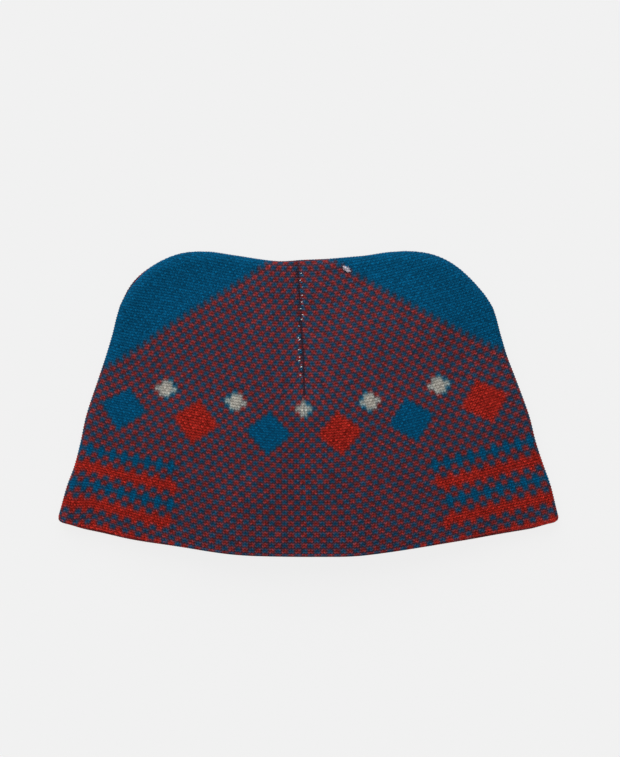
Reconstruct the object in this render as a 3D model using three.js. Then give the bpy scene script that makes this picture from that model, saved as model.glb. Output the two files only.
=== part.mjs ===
// A child's knit cap: two double-knit panels joined along the sides and over the crown, each with a
// dart down its middle, and a linked edge round the mouth. It lies flat on its back panel.
// Millimetres. +X runs across the cap, +Y towards the crown, +Z up from the surface it lies on.
// The origin is the middle of its footprint, at the height of that surface.
import * as THREE from "three";
import { mergeVertices } from "three/addons/utils/BufferGeometryUtils.js";

const CAP = {
  height: 152.2, // from the lowest point of the hem to the top of the two corners
  wall: 2.4, // the double-knit fabric
  gap: 0.3, // clearance between pieces that touch
};
const HEM = {
  halfWidth: 124.5,
  sweep: 455, // radius of the hem's curve, seen from above
  lifts: [
    { x: 74, rise: 1.6, spread: 21 }, // where it is pulled up a little from that curve
    { x: -68, rise: 0.6, spread: 12 },
  ],
  corner: 4, // rounding at its two ends
  panelCorner: 2.6, // the panels are rounded a little more there, clear of the edge's ends
  band: 1.6, // width of the linked edge
  swell: 0.25, // how far that edge stands proud of the fabric
  peek: 0.6, // how far the lower layer shows past the upper one
};
const EDGE = {
  thickness: 6.8, // both layers together, along the joined edge
  roll: 5, // distance over which a layer turns from the edge to level
};
const DOME = {
  rise: 14.2, // of the upper layer in the middle, above the edge's thickness
  height: 58, // where up the cap it is highest
  reachUp: 92,
  reachDown: 130,
  reachAcross: 118,
};
const PUFF = { x: 60, height: 122, rise: 3, spreadAcross: 22, spreadUp: 18 }; // the two soft corners
const DART = {
  hemX: -0.3, // where its line, drawn on down, meets the hem
  foot: 83, // height up the cap where it begins
  top: { x: -5.2, height: 147.7 },
  fade: 9, // length over which the dart runs out below its foot
  grooveDepth: 1.5,
  grooveSpread: 0.9,
  valleyDepth: 1.3, // the fabric pulled down on both sides of the groove
  valleySpread: 7,
  threadWidth: 1,
  threadHeight: 0.7,
};

// The joined sides, from below the hem's ends up to the shoulders: distance from the middle line.
const SIDE_ROWS = [
  { height: 10, left: 127.3, right: 127.3 },
  { height: 20, left: 124.6, right: 124.6 },
  { height: 35, left: 120.5, right: 121 },
  { height: 45, left: 116.8, right: 117.5 },
  { height: 57, left: 113.7, right: 113.5 },
  { height: 70, left: 110.9, right: 110.2 },
  { height: 90, left: 104.3, right: 102.9 },
  { height: 100, left: 101, right: 99.1 },
  { height: 110, left: 98, right: 96.1 },
  { height: 125, left: 93.8, right: 91.5 },
  { height: 137, left: 86.3, right: 82.4 },
];
// The crown, from the left shoulder over the two corners and the dip between them.
const CROWN_ROWS = [
  { x: -76.4, height: 145.7 },
  { x: -64, height: 151 },
  { x: -51, height: 152 },
  { x: -37, height: 150.2 },
  { x: -15, height: 147.2 },
  { x: -4, height: 147.8 },
  { x: 9, height: 148.4 },
  { x: 27, height: 149.9 },
  { x: 40, height: 151.7 },
  { x: 51, height: 152.2 },
  { x: 62, height: 150.6 },
  { x: 72, height: 146 },
];

// How finely the surfaces are divided.
const FACETS = {
  columns: 24, // on each half of a panel
  besideDart: [4, 2, 0.9], // extra columns, as distances from the dart
  rows: 13, // from the hem to where the edge rolls
  rollShares: [0.55, 0.25, 0.07, 0], // rows within the roll, as shares of it
  edgeStep: 1, // spacing of the points that stand for the outline
  hemQuarter: 24, // stations on a quarter of the mouth
  threadSteps: 14,
};

const seamHeight = EDGE.thickness / 2;
const toCurvePoint = ({ x, height }) => new THREE.Vector3(x, height, 0);
const outline = new THREE.CatmullRomCurve3(
  [
    ...SIDE_ROWS.map((row) => ({ x: -row.left, height: row.height })),
    ...CROWN_ROWS,
    ...SIDE_ROWS.map((row) => ({ x: row.right, height: row.height })).reverse(),
  ].map(toCurvePoint),
  false,
  "centripetal",
);
const outlinePoints = outline
  .getSpacedPoints(Math.round(outline.getLength() / FACETS.edgeStep))
  .map((point) => new THREE.Vector2(point.x, point.y));

// Height up the cap of the hem's lower edge, at a distance x from the middle line.
function hemLine(x, corner = HEM.corner) {
  const past = Math.max(0, Math.abs(x) - (HEM.halfWidth - HEM.corner));
  const lifted = HEM.lifts.reduce((sum, lift) => sum + lift.rise * bell(x - lift.x, lift.spread), 0);
  return x ** 2 / (2 * HEM.sweep) + past ** 2 / (2 * corner) + lifted;
}

// Height up the cap where the panels begin, just above the linked edge. A face that is inset from the
// outline has the same line, drawn narrower, so that the hem is level through the wall.
function panelHem(x, inset) {
  const across = (x * HEM.halfWidth) / (HEM.halfWidth - inset);
  return hemLine(across, HEM.panelCorner) + HEM.band + CAP.gap;
}

// Distance in from the joined edge, seen from above.
function edgeDistance(x, height) {
  const here = new THREE.Vector3(x, height, 0);
  const stretch = new THREE.Line3();
  const nearest = new THREE.Vector3();
  let least = Infinity;
  for (let i = 1; i < outlinePoints.length; i++) {
    const [from, to] = [outlinePoints[i - 1], outlinePoints[i]];
    stretch.start.set(from.x, from.y, 0);
    stretch.end.set(to.x, to.y, 0);
    stretch.closestPointToPoint(here, true, nearest);
    least = Math.min(least, nearest.distanceTo(here));
  }
  return least;
}

const bell = (distance, spread) => Math.exp(-(distance ** 2) / (2 * spread ** 2));

// From 0 at the joined edge to 1 where the fabric has turned level, as a quarter of an ellipse.
function rolled(distance, roll) {
  const share = THREE.MathUtils.clamp(distance / roll, 0, 1);
  return Math.sqrt(1 - (1 - share) ** 2);
}

// How far a point lies from the dart's line, and how strongly the dart shows at its height.
function dartAt(x, height) {
  const line = THREE.MathUtils.lerp(DART.hemX, DART.top.x, height / DART.top.height);
  const strength = THREE.MathUtils.smoothstep(height, DART.foot - DART.fade, DART.foot + DART.fade);
  return { away: x - line, strength };
}

// How deep the dart's groove is at a point.
function groove(x, height) {
  const { away, strength } = dartAt(x, height);
  return DART.grooveDepth * strength * bell(away, DART.grooveSpread);
}

// Height of the upper layer's face above the floor, before the roll at its edge.
function domeHeight(x, height) {
  const reach = height > DOME.height ? DOME.reachUp : DOME.reachDown;
  const out = (x / DOME.reachAcross) ** 2 + ((height - DOME.height) / reach) ** 2;
  const dome = DOME.rise * Math.max(0, 1 - out) ** 1.5;
  const corner = bell(Math.abs(x) - PUFF.x, PUFF.spreadAcross) * bell(height - PUFF.height, PUFF.spreadUp);
  const { away, strength } = dartAt(x, height);
  const valley = DART.valleyDepth * strength * bell(away, DART.valleySpread);
  return EDGE.thickness + dome + PUFF.rise * corner - valley;
}

// The four faces of the two layers, each a height above the floor at a point of the plan.
const FACES = {
  frontOuter: (x, height, away) => {
    const foot = seamHeight + CAP.gap / 2;
    const share = rolled(away, EDGE.roll);
    return foot + (domeHeight(x, height) - groove(x, height) - foot) * share;
  },
  frontInner: (x, height, away) => {
    const foot = seamHeight + CAP.gap / 2;
    const share = rolled(away - CAP.wall, EDGE.roll - CAP.wall);
    return foot + (domeHeight(x, height) - CAP.wall - foot) * share;
  },
  backInner: (x, height, away) => {
    const foot = seamHeight - CAP.gap / 2;
    return foot - (foot - CAP.wall) * rolled(away - CAP.wall, EDGE.roll - CAP.wall);
  },
  backOuter: (x, height, away) => {
    const foot = seamHeight - CAP.gap / 2;
    const share = rolled(away, EDGE.roll);
    return foot * (1 - share) + groove(x, height) * share;
  },
};

// Points along a line of 2D points, at the given distances from its first one.
function pointsAlong(line, distances) {
  const path = new THREE.CurvePath();
  for (let i = 1; i < line.length; i++) path.add(new THREE.LineCurve(line[i - 1], line[i]));
  const length = path.getLength();
  return distances(length).map((distance) => ({
    point: path.getPointAt(Math.min(1, distance / length)),
    tangent: path.getTangentAt(Math.min(1, distance / length)),
    share: distance / length,
  }));
}

// Distances from a hem corner to the dart: even columns, then the finer ones beside the dart.
function columnDistances(length) {
  const step = (length - 2 * FACETS.besideDart[0]) / (FACETS.columns - 1);
  const even = Array.from({ length: FACETS.columns }, (_, i) => step * i);
  return [...even, ...FACETS.besideDart.map((beside) => length - beside), length];
}

// The plan of one face: columns from the hem to the edge, the whole face inset from the outline.
function facePlan(inset) {
  const moved = outlinePoints.map((point, i) => {
    const before = outlinePoints[Math.max(0, i - 1)];
    const after = outlinePoints[Math.min(outlinePoints.length - 1, i + 1)];
    const along = after.clone().sub(before).normalize();
    return new THREE.Vector2(point.x + along.y * inset, point.y - along.x * inset);
  });
  const kept = moved.filter((point) => point.y > panelHem(point.x, inset));
  const middle = kept.findIndex((point) => point.x > DART.top.x);
  const halves = [kept.slice(0, middle), kept.slice(middle - 1).reverse()].map((line) => {
    const corner = new THREE.Vector2(line[0].x, panelHem(line[0].x, inset));
    const ends = pointsAlong([corner, ...line.slice(1)], columnDistances);
    return ends.map(({ point, tangent, share }) => {
      const toMiddle = 1 - share;
      const spread = 0.8 * toMiddle ** 1.5 + 0.2 * toMiddle;
      const x = THREE.MathUtils.lerp(DART.hemX, corner.x, spread);
      return columnPoints(new THREE.Vector2(x, panelHem(x, inset)), point, tangent);
    });
  });
  return [...halves[0], ...halves[1].reverse().slice(1)];
}

// One column of a face: points from the hem to the edge, closer together where the edge rolls.
function columnPoints(hem, edge, tangent) {
  const toEdge = edge.clone().sub(hem);
  const length = toEdge.length();
  const slant = length > 0 ? Math.abs(toEdge.clone().normalize().cross(tangent)) : 1;
  const roll = Math.min(EDGE.roll / Math.max(slant, 0.2), length / 2);
  const even = Array.from({ length: FACETS.rows }, (_, i) => ((length - roll) * i) / (FACETS.rows - 1));
  const stations = [...even, ...FACETS.rollShares.map((share) => length - roll * share)];
  return stations.map((station) => hem.clone().lerp(edge, length > 0 ? station / length : 0));
}

// A face of a panel: its plan raised to the height that the face has there.
function raiseFace(plan, heightOf) {
  return plan.map((column) =>
    column.map(({ x, y }) => new THREE.Vector3(x, y, heightOf(x, y, edgeDistance(x, y)))),
  );
}

// A closed solid from vertices in index order, with coincident ones merged and empty faces dropped.
function closedGeometry(vertices, triangles) {
  const loose = new THREE.BufferGeometry().setFromPoints(vertices);
  loose.setIndex(triangles.flat());
  const merged = mergeVertices(loose, 1e-3);
  const index = merged.index.array;
  const kept = [];
  for (let i = 0; i < index.length; i += 3) {
    const [a, b, c] = index.slice(i, i + 3);
    if (a !== b && b !== c && c !== a) kept.push(a, b, c);
  }
  merged.setIndex(kept);
  merged.computeVertexNormals();
  return merged;
}

// Two triangles for the corners of a quadrilateral, counterclockwise from outside.
const quad = (a, b, c, d) => [[a, b, c], [a, c, d]];

// A panel: the solid between an upper and a lower face that have the same columns and rows.
function panelGeometry(upper, lower) {
  const rows = upper[0].length;
  const last = rows - 1;
  const count = upper.length * rows;
  const top = (column, row) => column * rows + row;
  const under = (column, row) => count + top(column, row);
  const triangles = [];
  for (let j = 1; j < upper.length; j++) {
    for (let k = 1; k < rows; k++) {
      triangles.push(...quad(top(j - 1, k - 1), top(j, k - 1), top(j, k), top(j - 1, k)));
      triangles.push(...quad(under(j - 1, k), under(j, k), under(j, k - 1), under(j - 1, k - 1)));
    }
    triangles.push(...quad(under(j - 1, 0), under(j, 0), top(j, 0), top(j - 1, 0)));
    triangles.push(...quad(top(j - 1, last), top(j, last), under(j, last), under(j - 1, last)));
  }
  return closedGeometry([...upper.flat(), ...lower.flat()], triangles);
}

// The linked edge: a ring round the mouth, its section a band with a rounded lower side.
function hemGeometry() {
  const quarter = FACETS.hemQuarter;
  const turns = Array.from({ length: 2 * quarter + 1 }, (_, i) => i / quarter - 1);
  const shares = turns.map((turn) => Math.sin((Math.PI / 2) * turn));
  const layers = [
    { shares, outer: FACES.frontOuter, inner: FACES.frontInner, swell: HEM.swell, peek: 0 },
    {
      shares: shares.slice(1, -1).reverse(),
      outer: FACES.backOuter,
      inner: FACES.backInner,
      swell: 0,
      peek: HEM.peek,
    },
  ];
  const sections = layers.flatMap(({ shares: stations, outer, inner, swell, peek }) =>
    stations.map((share) => hemSection(share, outer, inner, swell, peek * (1 - share ** 2))),
  );
  const sides = sections[0].length;
  const triangles = [];
  for (let i = 0; i < sections.length; i++) {
    const next = (i + 1) % sections.length;
    for (let k = 0; k < sides; k++) {
      const after = (k + 1) % sides;
      triangles.push(...quad(i * sides + k, i * sides + after, next * sides + after, next * sides + k));
    }
  }
  return closedGeometry(sections.flat(), triangles);
}

// One section of the linked edge, at a share of the half-width, from its outer face to its inner.
function hemSection(share, outer, inner, swell, peek) {
  const outerX = share * HEM.halfWidth;
  const innerX = share * (HEM.halfWidth - CAP.wall);
  const hem = hemLine(outerX);
  const level = 1 - share ** 6;
  const atEnd = Math.abs(share) === 1;
  const outerZ = atEnd ? seamHeight : outer(outerX, hem, edgeDistance(outerX, hem)) + swell * level;
  const innerZ = atEnd ? seamHeight : inner(innerX, hem, edgeDistance(innerX, hem));
  const at = (inwards, up) =>
    new THREE.Vector3(
      THREE.MathUtils.lerp(outerX, innerX, inwards),
      hem + up * HEM.band - peek,
      THREE.MathUtils.lerp(outerZ, innerZ, inwards),
    );
  return [at(0, 1), at(0, 0.4), at(0.25, 0), at(0.75, 0), at(1, 0.4), at(1, 1)];
}

// The linking thread along the floor of a dart's groove.
function threadGeometry(heightOf) {
  const start = DART.foot + 1.4 * DART.fade;
  const end = DART.top.height - EDGE.roll;
  const points = Array.from({ length: FACETS.threadSteps + 1 }, (_, i) => {
    const height = THREE.MathUtils.lerp(start, end, i / FACETS.threadSteps);
    const x = -dartAt(0, height).away;
    return new THREE.Vector3(x, height, heightOf(x, height));
  });
  const section = new THREE.Shape();
  section.absellipse(0, 0, DART.threadWidth / 2, DART.threadHeight / 2, 0, Math.PI * 2);
  return new THREE.ExtrudeGeometry(section, {
    steps: FACETS.threadSteps,
    curveSegments: 4,
    extrudePath: new THREE.CatmullRomCurve3(points),
  });
}

const knit = (color) => new THREE.MeshStandardMaterial({ color, roughness: 0.9, metalness: 0 });
const checkedKnit = knit(0x48303d);
const redYarn = knit(0x8c2018);

function part(name, geometry, material) {
  const mesh = new THREE.Mesh(geometry, material);
  mesh.name = name;
  return mesh;
}

const outerPlan = facePlan(0);
const innerPlan = facePlan(CAP.wall);
const clear = CAP.gap + DART.threadHeight / 2;
const cap = new THREE.Group();
cap.position.y = -(CAP.height - HEM.peek) / 2;
cap.add(
  part(
    "front_panel",
    panelGeometry(raiseFace(outerPlan, FACES.frontOuter), raiseFace(innerPlan, FACES.frontInner)),
    checkedKnit,
  ),
  part(
    "back_panel",
    panelGeometry(raiseFace(innerPlan, FACES.backInner), raiseFace(outerPlan, FACES.backOuter)),
    checkedKnit,
  ),
  part("hem_edge", hemGeometry(), redYarn),
  part(
    "front_dart_seam",
    threadGeometry((x, height) => domeHeight(x, height) - groove(x, height) + clear),
    redYarn,
  ),
  part(
    "back_dart_seam",
    threadGeometry((x, height) => groove(x, height) - clear),
    redYarn,
  ),
);

export default cap;
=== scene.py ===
"""A child's two-colour knit cap, lying flat on its back on a pale floor.

Heights are counted up the cap from the lowest point of its hem, and sizes are in millimetres until a
mesh is written, which is in metres in the frame's own axes.
"""

import logging
import math
from dataclasses import dataclass, field
from enum import Enum
from functools import cached_property

import bpy
import numpy as np
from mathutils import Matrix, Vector

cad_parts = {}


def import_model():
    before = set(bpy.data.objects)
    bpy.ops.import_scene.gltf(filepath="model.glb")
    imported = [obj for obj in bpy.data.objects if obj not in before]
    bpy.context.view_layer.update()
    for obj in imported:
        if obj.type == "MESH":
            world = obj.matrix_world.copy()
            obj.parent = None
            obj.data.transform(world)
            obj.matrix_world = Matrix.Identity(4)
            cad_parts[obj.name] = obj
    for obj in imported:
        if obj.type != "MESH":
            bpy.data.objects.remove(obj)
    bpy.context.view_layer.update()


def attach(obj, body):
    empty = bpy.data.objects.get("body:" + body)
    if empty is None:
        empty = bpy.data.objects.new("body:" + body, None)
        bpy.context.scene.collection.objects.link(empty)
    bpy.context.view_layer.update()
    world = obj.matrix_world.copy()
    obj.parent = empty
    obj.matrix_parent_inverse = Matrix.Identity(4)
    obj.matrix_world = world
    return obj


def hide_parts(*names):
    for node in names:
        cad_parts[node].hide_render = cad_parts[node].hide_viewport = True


Socket = bpy.types.NodeSocket

LOG = logging.getLogger("knit_cap")
MM = 0.001

# How high the middle of a stitch stays between its two legs, as a share of the legs' height.
STITCH_MIDDLE = 0.5
# The numbers of the Mix node's sockets for colours.
MIX_FIRST, MIX_SECOND, MIX_RESULT = 6, 7, 2


class Layer(Enum):
    """Which of the cap's two layers a piece belongs to."""

    FRONT = "front"
    BACK = "back"


class Side(Enum):
    """Which half of a layer a piece belongs to, as the sign of its X."""

    LEFT = -1
    RIGHT = 1

    def pick(self, left: float, right: float) -> float:
        """The one of two values that belongs to this half."""
        return right if self is Side.RIGHT else left


class Yarn(Enum):
    """The yarns of the chart."""

    BLUE = 0
    RED = 1
    WHITE = 2

    @staticmethod
    def shares(yarns: np.ndarray) -> np.ndarray:
        """How red and how white each stitch is, as rows of three whose last is unused."""
        return np.column_stack([yarns == Yarn.RED.value, yarns == Yarn.WHITE.value, np.zeros(len(yarns))])


def smooth_step(value: np.ndarray, low: float, high: float) -> np.ndarray:
    """Rises smoothly from 0 at low to 1 at high."""
    share = np.clip((value - low) / (high - low), 0, 1)
    return share * share * (3 - 2 * share)


def bell(distance: np.ndarray, spread: float) -> np.ndarray:
    """A bell curve of height 1."""
    return np.exp(-(distance**2) / (2 * spread**2))


def unit(vectors: np.ndarray) -> np.ndarray:
    """The vectors at length 1."""
    return vectors / np.maximum(np.linalg.norm(vectors, axis=-1, keepdims=True), 1e-12)


def curve_through(knots: np.ndarray, spacing: float, steps_each: int = 32) -> np.ndarray:
    """Even points on a centripetal Catmull-Rom curve through the knots.

    Args:
        knots: the points that the curve passes through.
        spacing: about how far apart the returned points lie.
        steps_each: how many straight steps stand for the curve between two knots.

    Returns:
        The points, from the first knot to the last.
    """
    ends = np.vstack([2 * knots[0] - knots[1], knots, 2 * knots[-1] - knots[-2]])
    steps = np.linspace(0, 1, steps_each, endpoint=False)[:, None]
    spans = []
    for before, start, end, after in zip(ends[:-3], ends[1:-2], ends[2:-1], ends[3:], strict=True):
        gaps = [np.linalg.norm(b - a) ** 0.5 for a, b in ((before, start), (start, end), (end, after))]
        speed = (end - start) / gaps[1]
        leave = (start - before) / gaps[0] - (end - before) / (gaps[0] + gaps[1]) + speed
        arrive = speed - (after - start) / (gaps[1] + gaps[2]) + (after - end) / gaps[2]
        leave, arrive = leave * gaps[1], arrive * gaps[1]
        cubic = 2 * start - 2 * end + leave + arrive
        square = -3 * start + 3 * end - 2 * leave - arrive
        spans.append(start + leave * steps + square * steps**2 + cubic * steps**3)
    dense = np.vstack([*spans, knots[-1:]])
    run = np.concatenate([[0], np.cumsum(np.linalg.norm(np.diff(dense, axis=0), axis=1))])
    even = np.linspace(0, run[-1], round(run[-1] / spacing) + 1)
    return np.column_stack([np.interp(even, run, dense[:, k]) for k in range(dense.shape[1])])


@dataclass(frozen=True)
class Outline:
    """The line where the two layers are joined, from below the hem's left end to its right end.

    The side rows give its distance from the middle line up both sides, and the crown rows its height.
    """

    side_rows: tuple = (
        {"height": 10, "left": 127.3, "right": 127.3},
        {"height": 20, "left": 124.6, "right": 124.6},
        {"height": 35, "left": 120.5, "right": 121},
        {"height": 45, "left": 116.8, "right": 117.5},
        {"height": 57, "left": 113.7, "right": 113.5},
        {"height": 70, "left": 110.9, "right": 110.2},
        {"height": 90, "left": 104.3, "right": 102.9},
        {"height": 100, "left": 101, "right": 99.1},
        {"height": 110, "left": 98, "right": 96.1},
        {"height": 125, "left": 93.8, "right": 91.5},
        {"height": 137, "left": 86.3, "right": 82.4},
    )
    crown_rows: tuple = (
        {"x": -76.4, "height": 145.7},
        {"x": -64, "height": 151},
        {"x": -51, "height": 152},
        {"x": -37, "height": 150.2},
        {"x": -15, "height": 147.2},
        {"x": -4, "height": 147.8},
        {"x": 9, "height": 148.4},
        {"x": 27, "height": 149.9},
        {"x": 40, "height": 151.7},
        {"x": 51, "height": 152.2},
        {"x": 62, "height": 150.6},
        {"x": 72, "height": 146},
    )
    spacing: float = 1.0
    block: int = 4000

    @cached_property
    def points(self) -> np.ndarray:
        """Even points along the outline."""
        left = [(-row["left"], row["height"]) for row in self.side_rows]
        crown = [(row["x"], row["height"]) for row in self.crown_rows]
        right = [(row["right"], row["height"]) for row in reversed(self.side_rows)]
        return curve_through(np.array([*left, *crown, *right], float), self.spacing)

    @cached_property
    def tangents(self) -> np.ndarray:
        """The direction along the outline at each point."""
        return unit(np.gradient(self.points, axis=0))

    @cached_property
    def normals(self) -> np.ndarray:
        """The direction away from the cap at each point."""
        return np.column_stack([-self.tangents[:, 1], self.tangents[:, 0]])

    def nearest(self, places: np.ndarray) -> tuple[np.ndarray, np.ndarray, np.ndarray]:
        """Finds the closest part of the outline.

        Args:
            places: points as rows of x and height.

        Returns:
            The distance in from the outline, negative outside it, the closest point on it, and the
            direction away from the cap there.
        """
        index = np.concatenate(
            [
                ((part[:, None, :] - self.points[None]) ** 2).sum(-1).argmin(1)
                for part in np.array_split(places, max(1, len(places) // self.block))
            ]
        )
        along = ((places - self.points[index]) * self.tangents[index]).sum(1, keepdims=True)
        along = np.clip(along, -self.spacing, self.spacing)
        turn = np.gradient(self.normals, axis=0) / self.spacing
        away = unit(self.normals[index] + turn[index] * along)
        foot = self.points[index] + self.tangents[index] * along
        return ((foot - places) * away).sum(1), foot, away


@dataclass(frozen=True)
class CapShape:
    """The form of the lying cap.

    The upper layer is a low dome, puffed up a little at the two crown corners and drawn down along the
    dart. Both layers turn down in a quarter roll at the line where they are joined. At one place on the
    left shoulder, the peek, the back layer shows past the front one.
    """

    height: float = 152.2
    wall: float = 2.4
    hem_half_width: float = 124.5
    hem_sweep: float = 455.0
    hem_corner: float = 4.0
    hem_peek: float = 0.6
    side_peek: float = 0.3
    side_peek_from: tuple = (45, 75)
    peek_ends: tuple = (110, 124)
    hem_lifts: tuple = (
        {"x": 74, "rise": 1.6, "spread": 21},
        {"x": -68, "rise": 0.6, "spread": 12},
        {"x": 98, "rise": 0.5, "spread": 10},
        {"x": -103, "rise": 0.45, "spread": 8},
        {"x": -36, "rise": -0.55, "spread": 13},
        {"x": 23, "rise": -0.45, "spread": 9},
    )
    edge_thickness: float = 6.8
    edge_roll: float = 5.0
    edge_gap: float = 0.3
    edge_peek: float = 0.8
    edge_peek_x: float = -87.5
    edge_peek_height: float = 137.0
    edge_peek_spread: float = 7.0
    dome_rise: float = 14.2
    dome_height: float = 58.0
    dome_reach_up: float = 92.0
    dome_reach_down: float = 130.0
    dome_reach_across: float = 118.0
    dome_power: float = 1.5
    puff_x: float = 60.0
    puff_height: float = 122.0
    puff_rise: float = 3.0
    puff_across: float = 22.0
    puff_up: float = 18.0
    dart_hem_x: float = -0.3
    dart_foot: float = 83.0
    dart_top_x: float = -5.2
    dart_top: float = 147.7
    dart_fade: float = 9.0
    dart_bend: float = 1.1
    dart_bend_height: float = 92.0
    dart_bend_spread: float = 22.0
    groove_depth: float = 1.5
    groove_spread: float = 0.9
    valley_depth: float = 1.3
    valley_spread: float = 7.0
    slope_step: float = 0.05
    edge_line: Outline = field(default_factory=Outline)

    @property
    def seam_height(self) -> float:
        """Height above the floor of the line where the layers are joined."""
        return self.edge_thickness / 2

    @property
    def roll_arc(self) -> float:
        """Length of fabric in the roll at the edge."""
        return math.pi / 2 * math.hypot(self.edge_roll, self.seam_height) / math.sqrt(2)

    @property
    def roll_spare(self) -> float:
        """How much longer the fabric in the roll is than the floor that it covers."""
        return self.roll_arc - self.edge_roll

    @property
    def frame_shift(self) -> float:
        """What turns a height up the cap into the frame's Y."""
        return -(self.height - self.hem_peek) / 2

    def hem_lift(self, x: np.ndarray) -> np.ndarray:
        """How far the hem is pulled up from its curve."""
        return sum(lift["rise"] * bell(x - lift["x"], lift["spread"]) for lift in self.hem_lifts)

    def back_peek(self, x: np.ndarray) -> np.ndarray:
        """How far the back of the hem shows below its front, most towards the sides.

        Args:
            x: the places along the hem.

        Returns:
            The distance at each, which falls to nothing at the hem's ends.
        """
        out = np.abs(x)
        fuller = 1 + self.side_peek * smooth_step(out, *self.side_peek_from)
        return self.hem_peek * fuller * (1 - smooth_step(out, *self.peek_ends))

    def dart_x(self, height: np.ndarray) -> np.ndarray:
        """Follows the dart's line, drawn on down to the hem.

        Args:
            height: how far up the cap.

        Returns:
            The line's X there.
        """
        straight = self.dart_hem_x + (self.dart_top_x - self.dart_hem_x) * height / self.dart_top
        bent = self.dart_bend * bell(height - self.dart_bend_height, self.dart_bend_spread)
        return straight + bent

    def dart_strength(self, height: np.ndarray) -> np.ndarray:
        """0 below the dart's foot and 1 above it."""
        return smooth_step(height, self.dart_foot - self.dart_fade, self.dart_foot + self.dart_fade)

    def groove(self, x: np.ndarray, height: np.ndarray) -> np.ndarray:
        """Depth of the dart's groove."""
        away = x - self.dart_x(height)
        return self.groove_depth * self.dart_strength(height) * bell(away, self.groove_spread)

    def dome(self, x: np.ndarray, height: np.ndarray) -> np.ndarray:
        """Gives the upper layer's face, before the roll at its edge and without the dart's groove.

        Args:
            x: places across the cap.
            height: the same places up it.

        Returns:
            Their heights above the floor.
        """
        reach = np.where(height > self.dome_height, self.dome_reach_up, self.dome_reach_down)
        out = (x / self.dome_reach_across) ** 2 + ((height - self.dome_height) / reach) ** 2
        rise = self.dome_rise * np.maximum(0, 1 - out) ** self.dome_power
        puff_aside = bell(np.abs(x) - self.puff_x, self.puff_across)
        puff = self.puff_rise * puff_aside * bell(height - self.puff_height, self.puff_up)
        away = x - self.dart_x(height)
        valley = self.valley_depth * self.dart_strength(height) * bell(away, self.valley_spread)
        return self.edge_thickness + rise + puff - valley

    def face(self, layer: Layer, x: np.ndarray, height: np.ndarray) -> np.ndarray:
        """Gives a layer's outer face, before the roll at its edge.

        Args:
            layer: the layer.
            x: places across the cap.
            height: the same places up it.

        Returns:
            Their heights above the floor.
        """
        if layer is Layer.FRONT:
            return self.dome(x, height) - self.groove(x, height)
        return self.groove(x, height)

    def slopes(self, layer: Layer, x: np.ndarray, height: np.ndarray) -> tuple[np.ndarray, np.ndarray]:
        """How steeply a layer's outer face rises.

        Args:
            layer: the layer.
            x: places across the cap.
            height: the same places up it.

        Returns:
            The slopes along X and up the cap.
        """
        step = self.slope_step
        across = self.face(layer, x + step, height) - self.face(layer, x - step, height)
        upward = self.face(layer, x, height + step) - self.face(layer, x, height - step)
        return across / (2 * step), upward / (2 * step)

    def raise_points(self, layer: Layer, flat: np.ndarray) -> tuple[np.ndarray, np.ndarray]:
        """Lays points of the flattened fabric on a layer's outer face.

        Args:
            layer: the layer that they belong to.
            flat: rows of x and height, with the roll at the edge spread out flat.

        Returns:
            Their places and their outward directions, as rows of x, height and z.
        """
        inside, foot, away = self.edge_line.nearest(flat)
        angle = math.pi / 2 * np.clip((inside + self.roll_spare) / self.roll_arc, 0, 1)
        rolled = (angle < math.pi / 2)[:, None]
        plan = np.where(rolled, foot - away * (self.edge_roll * (1 - np.cos(angle)))[:, None], flat)
        if layer is Layer.BACK:
            from_peek = np.hypot(plan[:, 0] - self.edge_peek_x, plan[:, 1] - self.edge_peek_height)
            peek = self.edge_peek * bell(from_peek, self.edge_peek_spread) * np.cos(angle)
            plan = plan + away * peek[:, None]
        x, height = plan.T
        level = self.face(layer, x, height)
        up = 1 if layer is Layer.FRONT else -1
        foot_z = self.seam_height + up * self.edge_gap / 2
        z = foot_z + (level - foot_z) * np.sin(angle)
        slope_x, slope_y = self.slopes(layer, x, height)
        depth = self.seam_height * np.cos(angle)
        facing = self.edge_roll * np.sin(angle)
        outward = np.column_stack(
            [
                away[:, 0] * depth - up * facing * slope_x,
                away[:, 1] * depth - up * facing * slope_y,
                up * facing,
            ]
        )
        return np.column_stack([plan, z]), unit(outward)

    def to_frame(self, places: np.ndarray) -> np.ndarray:
        """Rows of x, height and z as the frame's coordinates, in metres."""
        return (places + [0, self.frame_shift, 0]) * MM


@dataclass(frozen=True)
class Drift:
    """A place where the courses run higher or lower than evenly, as worn knitting does.

    Going out from the middle line it sets in between the two distances, and up the cap it follows the
    rises at the heights.
    """

    side: Side
    out: tuple
    up: tuple
    rise: tuple

    def at(self, out: np.ndarray, up: np.ndarray) -> np.ndarray:
        """How much higher the courses run at a distance out from the middle line and a height on it."""
        return smooth_step(out, *self.out) * np.interp(up, self.up, self.rise)


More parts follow.
